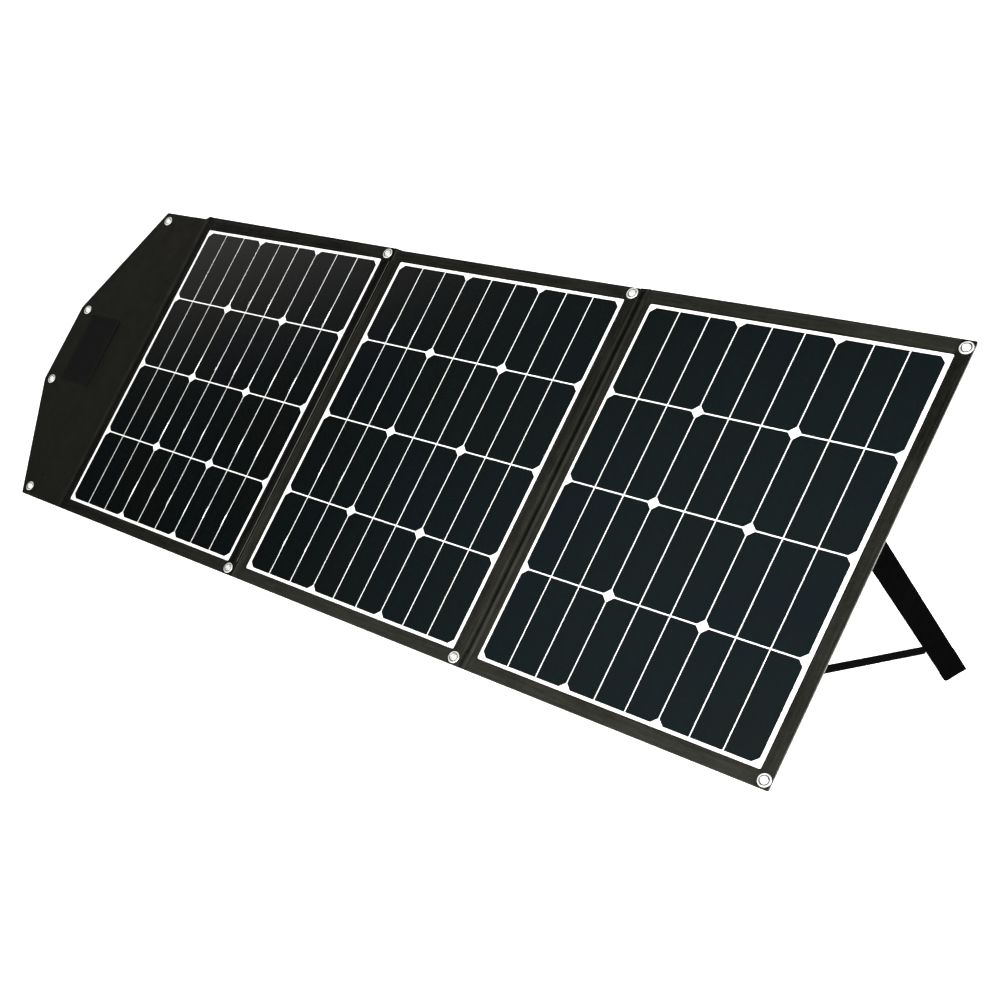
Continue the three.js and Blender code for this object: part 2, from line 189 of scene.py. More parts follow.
def coated_fabric(name, dark, light, roughness=(0.42, 0.62), specular=0.035):
    """Tight woven polyester under a satin coat: fine yarns, cloudy tone, streaks, soft creases.
    A piece's shade lightens or darkens it: painted light and shade on the covers and hinges."""
    look = Look(name, light, 0.5, specular)
    grain = look.noise(420, 3, 0.65)
    streaks = look.noise(330, 3, 0.6, (1, 0.06, 1))
    tone = look.new("Attribute", {}, "Fac", attribute_name="shade")
    for layer, share in ((look.noise(14, 4), 0.25), (look.noise(150, 4, 0.6), 0.2),
                         (grain, 0.15), (streaks, 0.4)):
        tone = look.math("ADD", tone, look.math("MULTIPLY", layer, share))
    look.color(tone, (0.24, times(0.15, dark)), (0.40, dark), (0.60, light),
               (0.80, times(1.8, light)))
    look.roughness(look.noise(55, 4, 0.6), *roughness)
    look.bump(look.noise(38, 4, 0.5), 0.0011, 0.35)
    yarns = look.math("MAXIMUM", look.wave(260, "X"), look.wave(260, "Y"))
    look.bump(look.math("ADD", yarns, look.math("MULTIPLY", grain, 0.8)), 0.00012, 0.5)
    return look.material


def woven_webbing(name, color):
    look = Look(name, color, 0.9, 0.0)
    ribs = look.math("ADD", look.wave(150, "Y"), look.math("MULTIPLY", look.wave(210, "X"), 0.7))
    look.color(ribs, (0.2, times(0.6, color)), (0.9, times(1.3, color)))
    look.bump(ribs, 0.0003, 0.7)
    look.roughness(look.noise(300, 2), 0.75, 0.95)
    return look.material


def pile(name, color):
    """Hook-and-loop tape."""
    look = Look(name, color, 0.95, 0.02)
    tufts = look.new("TexVoronoi", {"Scale": 900, "Vector": look.cloth}, "Distance")
    height = look.math("ADD", tufts, look.noise(1400, 3))
    look.color(height, (0.3, times(0.6, color)), (1.0, times(1.5, color)))
    look.bump(height, 0.0003, 0.6)
    return look.material


def thread(name, color):
    look = Look(name, color, 0.6, 0.1)
    twist = look.noise(1600, 2, 0.5, (1, 0.4, 1))
    look.color(twist, (0.3, times(0.7, color)), (0.7, times(1.3, color)))
    look.bump(twist, 0.0001, 0.6)
    return look.material


def solar_cell(name, dim):
    """Near-black silicon under a satin film: a slow drift of tint and very fine texture."""
    look = Look(name, (0.004, 0.006, 0.006), 0.5, 0.0, coat=0.9, coat_roughness=0.14)
    look.color(look.noise(5.5, 3, 0.6), (0.36, times(dim, (0.0018, 0.0022, 0.0020))),
               (0.5, times(dim, (0.0015, 0.0024, 0.0024))),
               (0.66, times(dim, (0.0015, 0.0021, 0.0030))))
    look.bump(look.noise(11, 2), 0.004, 0.12)
    look.bump(look.noise(520, 2), 0.00008, 0.2)
    return look.material


def white_backsheet(name):
    look = Look(name, (0.86, 0.85, 0.81), 0.42, 0.3, coat=0.25, coat_roughness=0.28)
    look.color(look.noise(40, 4), (0.3, (0.80, 0.785, 0.74)), (0.65, (0.90, 0.895, 0.87)))
    look.bump(look.noise(11, 2), 0.004, 0.15)
    look.bump(look.noise(520, 2), 0.00008, 0.3)
    return look.material


def nickel_plate(name, dim):
    look = Look(name, (0.85, 0.84, 0.81), 0.3, metallic=0.35)
    look.color(look.noise(300, 4), (0.3, times(dim, (0.80, 0.79, 0.76))),
               (0.7, times(dim, (0.95, 0.94, 0.91))))
    look.roughness(look.noise(700, 3, 0.6, (1, 5, 1)), 0.2, 0.42)
    look.bump(look.noise(500, 2), 0.00015, 0.3)
    return look.material


def moulded(name, color, roughness, grain, specular=0.3):
    look = Look(name, color, roughness, specular)
    look.color(look.noise(25, 3), (0.3, times(0.8, color)), (0.7, times(1.2, color)))
    look.roughness(look.noise(90, 3), roughness - 0.08, roughness + 0.08)
    look.bump(look.noise(grain, 2), 0.0001, 0.5)
    return look.material


COVER = coated_fabric("cover_fabric", (0.0048, 0.0048, 0.0036), (0.0122, 0.0121, 0.0098))
# Painted highlight: the covers' outer walls are the same fabric, made far lighter to stand for
# sheen from the light at the right.
WALL_HIGHLIGHT = coated_fabric("cover_fabric_painted_highlight", (0.09, 0.088, 0.082), (0.14, 0.136, 0.128),
                        (0.7, 0.9))
FLAP = coated_fabric("flap_fabric", (0.0026, 0.0027, 0.0019), (0.0044, 0.0045, 0.0032))
WEBBING = woven_webbing("webbing", (0.0015, 0.0015, 0.0015))
LEG_CLOTH = coated_fabric("leg_fabric", (0.0008, 0.0008, 0.0008), (0.0014, 0.0014, 0.0014),
                          (0.7, 0.9), 0.0)
PILE = pile("hook_tape", (0.0030, 0.0031, 0.0030))
THREAD = thread("thread", (0.016, 0.016, 0.013))
CELL_FACE = solar_cell("solar_cell", 1.0)
CELL_RIM = solar_cell("solar_cell_rim", 0.3)
BACKSHEET = white_backsheet("backsheet")
NICKEL = nickel_plate("nickel", 0.55)
# Painted shade: the eyelet flange's groove in much darker nickel.
NICKEL_GROOVE_SHADE = nickel_plate("nickel_painted_groove_shade", 0.05)
BOARD = moulded("board_plastic", (0.030, 0.033, 0.030), 0.7, 300)
RUBBER = moulded("rubber", (0.0012, 0.0012, 0.0012), 0.85, 900, 0.0)
BOX = moulded("box_plastic", (0.015, 0.015, 0.015), 0.5, 1200)


# ---------- making pieces ----------
CREASE_ANGLE = math.radians(50)
WELD = 1e-6


def finish_mesh(mesh, on_floor):
    bm = bmesh.new()
    bm.from_mesh(mesh)
    bmesh.ops.remove_doubles(bm, verts=bm.verts, dist=WELD)
    bmesh.ops.dissolve_degenerate(bm, edges=bm.edges, dist=WELD)
    if on_floor:
        geometry = [*bm.verts, *bm.edges, *bm.faces]
        bmesh.ops.bisect_plane(
            bm, geom=geometry, plane_co=(0, 0, 0), plane_no=(0, 0, -1), clear_outer=True
        )
        bmesh.ops.holes_fill(bm, edges=[e for e in bm.edges if e.is_boundary])
    bmesh.ops.triangulate(bm, faces=[f for f in bm.faces if len(f.verts) > 4])
    bmesh.ops.recalc_face_normals(bm, faces=bm.faces)
    for face in bm.faces:
        face.smooth = True
    for edge in bm.edges:
        if len(edge.link_faces) == 2 and edge.calc_face_angle(0) > CREASE_ANGLE:
            edge.smooth = False
    bm.to_mesh(mesh)
    bm.free()


def set_values(mesh, name, kind, field, values):
    layer = mesh.attributes.new(name, kind, "POINT")
    layer.data.foreach_set(field, np.asarray(values, np.float32).ravel())


def piece(name, points, faces, look, body, replaces=(), cloth=None, to_row=row_frame,
          on_floor=False, second=None, shade=None):
    """A mesh piece. cloth is where its pattern is read, mm, if not at its points, shade how much
    lighter its cloth is there, and second another look and its faces. body is a name, or
    (body_a, body_b, start, end), for which the piece is only left where it is in the row frame."""
    mesh = bpy.data.meshes.new(name)
    mesh.from_pydata(to_row(points).tolist(), [], [list(map(int, f)) for f in faces])
    pattern = np.array(points if cloth is None else cloth, float)
    set_values(mesh, "cloth", "FLOAT_VECTOR", "vector", pattern * MM)
    if shade is not None:
        set_values(mesh, "shade", "FLOAT", "value", shade)
    mesh.materials.append(look)
    if second:
        mesh.materials.append(second[0])
        for index in second[1]:
            mesh.polygons[index].material_index = 1
    finish_mesh(mesh, on_floor)
    obj = bpy.data.objects.new(name, mesh)
    bpy.context.collection.objects.link(obj)
    if isinstance(body, str):
        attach(obj, body)
    else:
        a, b, start, end = body
        row_frame(start)[0]
        row_frame(end)[0]
        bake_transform(obj)
    if replaces:
        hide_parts(*replaces)


def keep_node(node, look):
    """A CAD node whose shape is right keeps it, and gets a finer material."""
    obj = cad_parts[node]
    points = np.array([v.co for v in obj.data.vertices], float)
    set_values(obj.data, "cloth", "FLOAT_VECTOR", "vector", (points - ORIGIN) @ LEAN)
    for slot in obj.material_slots:
        slot.material = look


def shares(length, step, fine, reach):
    """Places from 0 to 1 along a stretch: fine steps within reach of its ends, step between."""
    ends = list(np.arange(0, min(reach, length / 2), fine)) if reach else []
    low = ends[-1] + fine if ends else 0.0
    middle = np.linspace(low, length - low, max(2, round((length - 2 * low) / step) + 1))
    return [p / length for p in (*ends, *middle, *(length - e for e in reversed(ends)))]


class Outline:
    """A convex outline, anticlockwise, with rounded corners, cut into stations. at(d) gives every
    station's point when each edge is moved in by d."""

    def __init__(self, corners, radius=2.0, step=4.0, fine=None, reach=0.0, arc=4):
        self.corners = np.asarray(corners, float)
        self.radius = radius
        self.normals = []
        self.stations = []  # (edge, share of its straight part) or (corner, angle share)
        count = len(corners)
        for k in range(count):
            run = self.corners[(k + 1) % count] - self.corners[k]
            length = float(np.linalg.norm(run))
            self.normals.append(np.array([run[1], -run[0]]) / length)
            for share in shares(length, step, fine or step, reach):
                self.stations.append(("edge", k, share))
            for i in range(1, arc):
                self.stations.append(("corner", (k + 1) % count, i / arc))

    def tangent(self, k, d, normal):
        """The end of a straight part at corner k, when the outline is moved in by d."""
        inset = max(d, self.radius)
        edges = np.array([self.normals[k - 1], self.normals[k]])
        crossing = self.corners[k] + np.linalg.solve(edges, np.array([-inset, -inset]))
        return crossing + (inset - d) * normal

    def at(self, d):
        found = []
        for kind, k, share in self.stations:
            if kind == "edge":
                normal = self.normals[k]
                a, b = (self.tangent(j % len(self.corners), d, normal) for j in (k, k + 1))
                found.append(a + (b - a) * share)
            else:
                turn = share * math.pi / 2
                normal = self.normals[k - 1] * math.cos(turn) + self.normals[k] * math.sin(turn)
                found.append(self.tangent(k, d, normal / np.linalg.norm(normal)))
        return np.array(found)


def rectangle(x0, y0, x1, y1):
    return [(x0, y0), (x1, y0), (x1, y1), (x0, y1)]


def ring_faces(around, rings, caps=False):
    """Faces between rings of points: closed by two caps, or on round to the first ring."""
    faces = []
    for j in range(rings - 1 if caps else rings):
        low, high = j * around, ((j + 1) % rings) * around
        for i in range(around):
            k = (i + 1) % around
            faces.append((low + i, low + k, high + k, high + i))
    if caps:
        faces.append(tuple(range(around)))
        faces.append(tuple((rings - 1) * around + i for i in reversed(range(around))))
    return faces


def sweep(rings, caps=True):
    """A body from equal closed rings of points, one after the other."""
    return [p for ring in rings for p in ring], ring_faces(len(rings[0]), len(rings), caps)


def loft(outline, profile, height=lambda x, y, d, z: 0, lift=lambda x, y: 0):
    """A closed body: rings at (inset, z), with a cap on the first and the last one."""
    rings = []
    for d, z in profile:
        rings.append([(x, y + lift(x, y), z + height(x, y, d, z)) for x, y in outline.at(d)])
    return sweep(rings)


def circle(x, y, r, z, around):
    angles = np.linspace(0, 2 * math.pi, around, endpoint=False)
    return [(x + r * math.cos(a), y + r * math.sin(a), z) for a in angles]


def pierce(points, faces, places):
    """Round holes in a skin at these (x, y) places, ragged edges drawn back to HOLE_R."""
    points = np.array(points, float)
    for place in places:
        faces = [f for f in faces
                 if len(f) > 4 or math.dist(points[list(f), :2].mean(0), place) > DROP_R]
        offset = points[:, :2] - np.array(place)
        reach = np.linalg.norm(offset, axis=1)
        near = (reach < HOLE_R) & (reach > WELD)
        points[near, :2] = np.array(place) + offset[near] * (HOLE_R / reach[near])[:, None]
    used = sorted({i for f in faces for i in f})
    index = {old: new for new, old in enumerate(used)}
    return points[used], [tuple(index[i] for i in f) for f in faces]


def merge(*parts):
    points, faces = [], []
    for more_points, more_faces in parts:
        base = len(points)
        points.extend(map(tuple, more_points))
        faces.extend(tuple(base + i for i in f) for f in more_faces)
    return points, faces


STITCH_LENGTH, STITCH_R = 2.5, 0.3
# A stitch is three small rings between two end points: each ring's share of its length, and size.
STITCH_RINGS = ((0.2, 0.8), (0.5, 1.0), (0.8, 0.8))
STITCH_FACES = [face for j, k in ((0, 1), (1, 2), (2, 0)) for face in (
    (0, 1 + k, 1 + j), (10, 7 + j, 7 + k),
    (1 + j, 1 + k, 4 + k, 4 + j), (4 + j, 4 + k, 7 + k, 7 + j))]


def stitches(line, up=(0, 0, 1), closed=False, pitch=3.6):
    """Short thread humps along a line of points."""
    line = np.array([*line, line[0]] if closed else line, float)
    steps = np.linalg.norm(np.diff(line, axis=0), axis=1)
    along = np.concatenate([[0], np.cumsum(steps)])
    count = int(along[-1] / pitch)
    up = np.array(up, float)
    humps = []
    for i in range(count):
        middle = (i + 0.5) * along[-1] / count
        ends = (middle - STITCH_LENGTH / 2, middle + STITCH_LENGTH / 2)
        a, b = (np.array([np.interp(s, along, line[:, c]) for c in range(3)]) for s in ends)
        side = np.cross((b - a) / np.linalg.norm(b - a), up)
        points = [a - up * 0.15]
        for share, size in STITCH_RINGS:
            for s, u in ((1, -0.2), (0, 1), (-1, -0.2)):
                points.append(a + (b - a) * share + up * 0.1 * size
                              + (side * s + up * u) * STITCH_R * size)
        humps.append(([*points, b - up * 0.15], STITCH_FACES))
    return merge(*humps)


def sewn(lines, up=(0, 0, 1)):
    """Stitches along each unbroken run of these lines' points."""
    parts = []
    for line in lines:
        run = []
        for before, point in zip([line[0], *line], line):
            if math.dist(before, point) > SEAM_BREAK:
                parts.append(run)
                run = []
            run.append(point)
        parts.append(run)
    return merge(*(stitches(run, up) for run in parts if len(run) > 3))


# ---------- eyelets ----------
def make_eyelet(node, body):
    """Rolled nickel eyelet: a domed flange on the front, a flatter washer on the back."""
    low, high = span(node)
    rim = (high[0] - low[0]) / 2
    hole = rim * 4.5 / 8
    top, bottom = high[2], low[2]
    profile = [
        (rim, top - 1.25), (rim + 0.05, top - 0.9), (rim - 0.3, top - 0.4), (rim - 0.8, top - 0.1),
        (rim - 1.3, top + 0.05), (rim - 1.8, top - 0.15), (rim - 2.3, top - 0.5),
        (hole + 0.7, top - 0.55), (hole + 0.3, top - 0.45), (hole, top - 0.7),
        (hole + 0.1, top - 2.4), (hole + 0.1, bottom + 2.2),
        (hole, bottom + 1.0), (hole + 0.4, bottom + 0.35), (rim - 2.2, bottom + 0.05),
        (rim - 1.0, bottom + 0.05), (rim - 0.2, bottom + 0.4), (rim, bottom + 0.95),
        (rim - 1.2, bottom + 1.05), (hole + 0.9, bottom + 1.4), (hole + 0.9, top - 1.5),
        (rim - 1.2, top - 1.35),
    ]
    around = 40
    points, faces = sweep([circle(*EYELETS[node], r, z, around) for r, z in profile], caps=False)
    # the flange's groove faces carry painted shade
    piece(f"{node}_ring", points, faces, NICKEL, body, [node],
          second=(NICKEL_GROOVE_SHADE, range(5 * around, 8 * around)))


# ---------- panels ----------
def lift_edge(k):
    """How far up the cloth above window k moves, with the cover's top edge."""
    low, high = span(f"front_cover_{k}")
    left, middle, right = TOP_LIFT[k]
    window_top = WINDOW_HALF[1]

    def lift(x, y):
        across = (x - low[0]) / (high[0] - low[0])
        top = (left * (1 - across) * (1 - 2 * across) + 4 * middle * across * (1 - across)
               + right * across * (2 * across - 1))
        return min(1.0, max(0.0, (y - window_top) / (HALF_HEIGHT - window_top))) * top

    return lift


# A cut cell corner's points and a whole one's, as shares of its size along x and y.
CUT_CORNER = (7.6, ((0, 1.04), (0.06, 0.91), (0.91, 0.06), (1.04, 0)))
WHOLE_CORNER = (0.25, ((0, 1), (1, 0)))
CELL_SECTION = ((0, CELLS_Z - 0.35), (0.25, CELLS_Z + 0.1), (0.6, CELLS_Z + 0.1))
STRIP_GAP, ROW_GAP = 1.4, 1.7


def cells(k):
    """Twelve cells, each cut in three strips. Only a whole cell's own corners are cut off."""
    strips, rim_faces, count = [], [], 0
    strip = CELL / 3
    for column in range(9):
        left, right = (CUT_CORNER if column % 3 == side else WHOLE_CORNER for side in (0, 2))
        for row in range(4):
            x0 = PANEL_X[k] + (column - 4.5) * strip + STRIP_GAP / 2
            y0 = (row - 2) * CELL + ROW_GAP / 2
            x1, y1 = x0 + strip - STRIP_GAP, y0 + CELL - ROW_GAP
            outline = []
            for x, y, sx, sy, (size, shape) in ((x0, y0, 1, 1, left), (x1, y0, -1, 1, right),
                                                (x1, y1, -1, -1, right), (x0, y1, 1, -1, left)):
                corner = [(x + sx * u * size, y + sy * v * size) for u, v in shape]
                outline.extend(corner if sx == sy else reversed(corner))
            to_middle = np.array([(x0 + x1) / 2, (y0 + y1) / 2]) - outline
            rings = []
            for inset, z in CELL_SECTION:
                inward = np.sign(to_middle) * np.minimum(np.abs(to_middle), inset)
                rings.append([(x, y, z) for x, y in outline + inward])
            points, faces = sweep(rings)
            rim_faces.extend(range(count, count + len(faces) - 2))
            count += len(faces)
            strips.append((points, faces))
    piece(f"cells_{k}", *merge(*strips), CELL_FACE, f"panel_{k}", [f"cell_sheet_{k}"],
          second=(CELL_RIM, rim_faces))


# Front cover's section: how far in from the window's edge or the cover's edge, and how high.
FROM_WINDOW = ((0.0, -0.95), (0.25, -0.5), (0.8, 0.0), (1.6, 0.18), (2.6, 0.1), (3.1, -0.12),
               (3.6, 0.1))
FROM_EDGE = ((4.4, 0.15), (3.8, -0.1), (3.2, 0.2), (2.2, 0.35), (1.2, 0.2), (0.5, -0.2),
             (0.0, -0.85))
WINDOW_SEAM, EDGE_SEAM = 5, 10  # their rings, of all the section's
UNDERSIDE_Z = -1.02
NARROW = 13.0  # borders narrower than this squeeze the section
HINGE_END = 258.0  # past this the hinge is a flat sewn band


def flap_cloth_front(x):
    """Height of the closing flap's cloth between its spine and panel 1's window, with a soft valley
    beside the window."""
    spine = span("flap_spine")[1]
    rise = smooth(spine[0] - 2, span("front_cover_1")[0][0] + 5, x)
    valley = 1.3 * math.exp(-(((x - WINDOW_1_LEFT + 6.5) / 4.2) ** 2))
    roll = 0.5 * smooth(FLAP_CLOTH_EDGE - 1.2, FLAP_CLOTH_EDGE, x)
    return spine[2] + (0.25 - spine[2]) * rise - valley - roll


def cover_painted_shade(k, x, y):
    """Painted shade on the covers' cloth: darker toward the top and the left, as the lamps fall
    off, on the borders that face a hinge's left side, and beside the windows as a painted shadow."""
    along = x * MM
    top, bottom = -0.09 + 0.2 * along, min(0.12, 0.11 + 0.52 * along)
    shade = top + (bottom - top) * (0.5 - y / (2 * HALF_HEIGHT))
    from_middle = x - PANEL_X[k] - WINDOW_SHIFT[k]
    beyond = abs(from_middle) - WINDOW_HALF[0]
    if beyond > 0 and from_middle > 0:
        shade -= {1: 0.21, 2: 0.10, 3: 0.10 + 0.10 * smooth(60, 200, y)}[k]
    gap = max(beyond, abs(y) - WINDOW_HALF[1])
    return shade - 0.14 * math.exp(-((gap / 1.8) ** 2))


def border_cloth(k, x, y):
    """Where the covers' pattern is read: its streaks run along each border."""
    side = abs(x - PANEL_X[k] - WINDOW_SHIFT[k]) > WINDOW_HALF[0] and abs(y) < WINDOW_HALF[1]
    return (x, y, 0) if side else (y, x, 0)


def panel_eyelets(k):
    return [EYELETS[f"eyelet_{k}_{end}"] for end in ("top", "bottom")]


def off_eyelets(k, line):
    """The part of a seam's line that can be sewn."""
    return [p for p in line if all(math.dist(p[:2], e) > 10 for e in panel_eyelets(k))]


def front_cover(k):
    name = f"front_cover_{k}"
    low, high = span(name)
    middle = PANEL_X[k] + WINDOW_SHIFT[k]
    half_x, half_y = WINDOW_HALF
    edge = Outline(rectangle(*low[:2], *high[:2]), 2.0, 6.0, 2.0, 30.0, 5)
    window = Outline(rectangle(middle - half_x, -half_y, middle + half_x, half_y), 2.2)
    # Both outlines need the same stations, and their edges differ in length.
    window.stations = edge.stations
    outer, inner = edge.at(0), window.at(0)
    width = np.linalg.norm(outer - inner, axis=1)
    # Beside a hinge the second cover's edge stands up in a ridge, and the first one's falls away.
    hinge_left = k > 1
    hinge_right = {1: (-1.3, 0.5), 2: (0.9, 3.4)}.get(k)
    under_flap_to = FLAP_CLOTH_EDGE if k == 1 else low[0] - 1
    lift = lift_edge(k)

    def ring_at(distance, z, from_window):
        ring = []
        for p, q, w in zip(inner, outer, width):
            share = distance * min(1.0, w / NARROW) / w
            x, y = p + (q - p) * (share if from_window else 1 - share)
            up = z
            inside = 1 - smooth(HINGE_END - 3, HINGE_END + 2, abs(y))
            if hinge_right and not from_window:
                height, place = hinge_right
                up += inside * height * math.exp(-(((high[0] - x - place) / 2.8) ** 2))
            if hinge_left and not from_window:
                up -= inside * 0.9 * math.exp(-(((x - low[0]) / 2.8) ** 2))
            if x < under_flap_to:
                up = min(up, flap_cloth_front(x) - 0.4)
            up += 0.16 * wander(x, y, 20, k) + 0.07 * wander(x, y, 6, k + 5)
            ring.append((x, y + lift(x, y), up))
        return ring

    rings = [ring_at(d, z, True) for d, z in FROM_WINDOW]
    first, last = np.array(rings[-1]), np.array(ring_at(*FROM_EDGE[0], False))
    rings += [first * (1 - share) + last * share + (0, 0, 0.05) for share in (0.3, 0.7)]
    rings += [ring_at(d, z, False) for d, z in FROM_EDGE]
    for distance, from_window in ((0.3, False), (0.2, True)):
        rings.append([(x, y, min(UNDERSIDE_Z, z - 0.4) if x < under_flap_to else UNDERSIDE_Z)
                      for x, y, z in ring_at(distance, 0, from_window)])
    points, faces = pierce(*sweep(rings, caps=False), panel_eyelets(k))
    # Painted shade: the cloth's shade attribute is painted shade, and the first rings beside the
    # window take the darker flap cloth as a painted shadow.
    window_edge_shade = [i for i, face in enumerate(faces) if face[0] < 2 * len(edge.stations)]
    piece(f"cover_front_{k}", points, faces, COVER, f"panel_{k}", [name],
          cloth=[border_cloth(k, x, y) for x, y, _ in points], second=(FLAP, window_edge_shade),
          shade=[cover_painted_shade(k, x, y) for x, y, _ in points])
    seams = [[p for p in off_eyelets(k, rings[j]) if p[0] > under_flap_to]
             for j in (WINDOW_SEAM, EDGE_SEAM)]
    piece(f"stitching_front_{k}", *sewn(seams), THREAD, f"panel_{k}")


def back_cover(k):
    """The fabric back is a shallow tray with a rolled rim and a sewn hem."""
    name = f"back_cover_{k}"
    low, high = span(name)
    outline = Outline(rectangle(*low[:2], *high[:2]), 2.0, 8.0, 2.0, 30.0, 5)
    wall, top = 1.4, high[2]
    profile = [(d, BACK_Z + 0.9) for d in (20, 18, 16, 14, 12, 10, 8, 6, 4, 2.5, wall)]
    profile += [(wall, top - 0.2), (wall * 0.6, top), (0.25, top - 0.1),
                (0.0, top - 0.6), (0.1, MID_Z - 0.2), (0.0, BACK_Z + 1.2), (0.25, BACK_Z + 0.5)]
    profile += [(d, BACK_Z + z) for d, z in (
        (0.8, 0.12), (1.6, -0.02), (3.0, 0), (HEM, 0.25), (4.4, 0), (6, 0.05), (8, 0.1), (10, 0.12),
        (12, 0.12), (14, 0.05), (16, -0.02), (18, -0.05))]
    profile += [(d, BACK_Z) for d in np.linspace(24, (high[0] - low[0]) / 2 - 6, 20)]
    lift = lift_edge(k)

    def height(x, y, d, z):
        if z > BACK_Z + 0.3:
            return 0
        return 0.18 * wander(x, y, 70, k + 20) + 0.1 * wander(x, y, 22, k + 30)

    points, faces = pierce(*loft(outline, profile, height, lift), panel_eyelets(k))

    def on_wall(face):
        """Whether a face is on the tray's outer wall, other than along its top."""
        x, y = points[face[0]][:2]
        heights = [points[j][2] for j in face]
        return (len(face) < 5 and min(heights) > BACK_Z + 0.3 and max(heights) < top - 0.05
                and min(x - low[0], high[0] - x, y - low[1]) < 0.6)

    # the tray's outer walls take the lighter painted highlight
    piece(f"cover_back_{k}", points, faces, COVER, f"panel_{k}", [name],
          second=(WALL_HIGHLIGHT, [i for i, face in enumerate(faces) if on_wall(face)]))
    seam = off_eyelets(k, [(x, y + lift(x, y), BACK_Z + 0.2) for x, y in outline.at(HEM)])
    piece(f"stitching_back_{k}", *sewn([seam], (0, 0, -1)), THREAD, f"panel_{k}")


def panel(k):
    cells(k)
    keep_node(f"laminate_{k}", BACKSHEET)
    keep_node(f"stiffener_board_{k}", BOARD)
    front_cover(k)
    back_cover(k)
    for end in ("top", "bottom"):
        make_eyelet(f"eyelet_{k}_{end}", f"panel_{k}")


# ---------- soft hinges ----------
def soft_strip(name, node, look, bodies, x_range, front, back, lift, shade, count):
    """Cloth across a joint, drawn along Y. front and shade, its height and how much lighter it is,
    are by x and y, and back and lift, how far its top edge stands up, by x."""
    across = [x_range[0] + (x_range[1] - x_range[0]) * s for s in np.linspace(0, 1, count)]
    rings, tones = [], []
    for y in np.concatenate([np.arange(-HALF_HEIGHT, HALF_HEIGHT, 4.0), [HALF_HEIGHT]]):
        raised = smooth(0.93, 1.0, (y + HALF_HEIGHT) / (2 * HALF_HEIGHT))
        ring = []
        for s, x in zip(np.linspace(0, 1, count), across):
            up = front(x, y) + 0.12 * wander(x, y, 14, 3) * math.sin(math.pi * s)
            ring.append((x, y + raised * lift(x), up))
        ring += [(x, y + raised * lift(x), back(x)) for x in reversed(across)]
        rings.append(ring)
        tones += [shade(x, ring[0][1]) for x in (*across, *reversed(across))]
    piece(name, *sweep(rings), look, bodies, [node], shade=tones)


# Across each hinge, from the left cover to the right one: its front's height, and how much lighter
# it is, by the share of the width. The lighter stops are a painted highlight on the ridges, the
# darker ones painted shade in the grooves.
HINGE_FRONT = {
    (1, 2): ((0, -2.0), (0.16, -3.3), (0.42, 1.3), (0.62, 0.6), (0.85, 0.1), (1, -1.0)),
    (2, 3): ((0, -0.2), (0.12, -0.5), (0.36, -2.3), (0.48, -2.1), (0.74, 1.3), (1, -2.2)),
}
HINGE_PAINTED_LIGHT = {
    (1, 2): ((0, -0.2), (0.2, -0.16), (0.30, 0.06), (0.36, 0.42), (0.42, 0.30), (0.52, 0.04),
             (0.75, 0.08), (1, 0.0)),
    (2, 3): ((0, -0.02), (0.10, 0.14), (0.2, -0.10), (0.36, -0.26), (0.48, -0.22), (0.6, 0.02),
             (0.74, 0.10), (0.86, 0.06), (1, 0.0)),
}
HINGE_BLEND_Z = -1.4


def eased(stops, share):
    """A smooth value between stops."""
    for (s0, z0), (s1, z1) in zip(stops, stops[1:]):
        if share <= s1:
            return z0 + (z1 - z0) * smooth(s0, s1, share)
    return stops[-1][1]


def panel_hinge(left, right):
    """A crease and a ridge run the hinge's length, between flat sewn ends."""
    node = f"hinge_strip_{left}{right}"
    low, high = span(node)
    bodies = (f"panel_{right}", f"panel_{left}", (high[0] + 0.3, 0, HINGE_BLEND_Z),
              (low[0] - 0.3, 0, HINGE_BLEND_Z))

    def share(x):
        return (x - low[0]) / (high[0] - low[0])

    def front(x, y):
        band = smooth(HINGE_END - 4, HINGE_END, abs(y))
        sunk = eased(HINGE_FRONT[left, right], share(x))
        return (1 - band) * sunk + band * (-0.2 + 0.1 * smooth(0.8, 1, share(x)))

    def back(x):
        return BACK_Z + 0.35 + 2.1 * max(0, math.sin(math.pi * share(x))) ** 0.7

    def lift(x):
        return TOP_LIFT[left][2] * (1 - share(x)) + TOP_LIFT[right][0] * share(x)

    # painted highlight and shade across the hinge, plus the right cover's painted shade
    def shade(x, y):
        return eased(HINGE_PAINTED_LIGHT[left, right], share(x)) + cover_painted_shade(right, high[0], y) - 0.02

    soft_strip(f"hinge_cloth_{left}{right}", node, COVER, bodies, (low[0], high[0]), front, back,
               lift, shade, 19)
    z = front((low[0] + high[0]) / 2, HALF_HEIGHT)
    seams = [[(x, y, z) for x in np.linspace(low[0], high[0], 6)]
             for y in (3.8 - HALF_HEIGHT, -HINGE_END, HALF_HEIGHT - 3.8, HINGE_END)]
    piece(f"hinge_stitching_{left}{right}", *sewn(seams), THREAD, bodies)


# ---------- closing flap ----------
def crease(name, node, parent, child, x_range, front, back, lift):
    """Cloth with a soft crease in it, a lighter line where the spine meets panel 1's border, and
    painted shade in the valley beside the window. front, back and lift are by x."""
    low, high = span(node)
    crease_line = span("front_cover_1")[0][0] - 3
    bodies = (parent, child, (high[0] + 0.3, 0, MID_Z), (low[0] - 0.3, 0, MID_Z))

    # a lighter line at the crease, and painted shade from there toward the window
    def shade(x, y):
        return 0.16 * math.exp(-(((x - crease_line) / 1.1) ** 2)) - 0.14 * smooth(crease_line - 9, crease_line + 3, x)

    soft_strip(name, node, FLAP, bodies, x_range, lambda x, y: front(x), back, lift, shade, 31)


FLAP_SHOULDER_X = PANEL_X[1] - 318
FLAP_TIP_Y = 72.5


